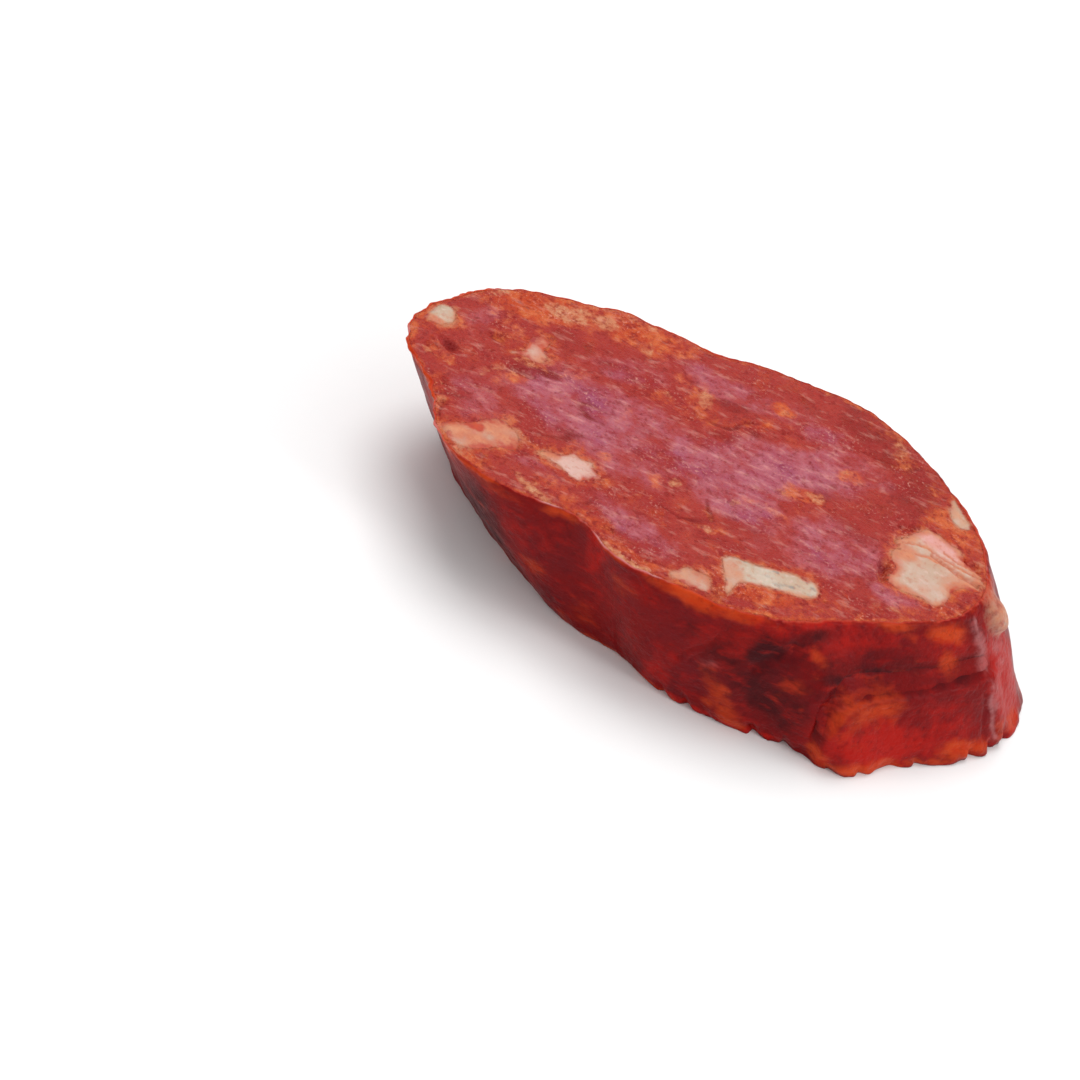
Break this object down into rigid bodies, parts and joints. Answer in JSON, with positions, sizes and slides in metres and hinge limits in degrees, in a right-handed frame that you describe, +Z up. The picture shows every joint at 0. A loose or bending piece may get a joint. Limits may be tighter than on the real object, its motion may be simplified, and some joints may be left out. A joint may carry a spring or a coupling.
{
  "type": "cured sausage slice",
  "caption": "Thick bias-cut slice of coarse, paprika-red dry-cured sausage in its casing, marbled with pale lumps of fat, lying on its lower cut face.",
  "frame": {"origin": "middle of the slice's bounding box, on the surface that its lower cut face rests on", "axes": "+X along the slice, from its narrow end to the end that the lower cut juts out under, +Y across it, +Z up, square to both cuts"},
  "size_m": [0.0698, 0.0376, 0.0136],
  "materials": {
    "cured_meat": "satin",
    "casing": "gloss",
    "fat": "satin"
  },
  "bodies": {
    "root": {"casing": "casing", "cured_meat": "cured_meat", "fat_end_block": "fat", "fat_front_strip": "fat", "fat_front_wedge": "fat", "fat_left_lump": "fat", "fat_inner_star": "fat", "fat_upper_left": "fat", "fat_left_tip": "fat", "fat_right_rim": "fat", "fat_under_left": "fat", "fat_under_middle": "fat", "fat_under_back": "fat", "fat_under_right": "fat"}
  },
  "joints": []
}
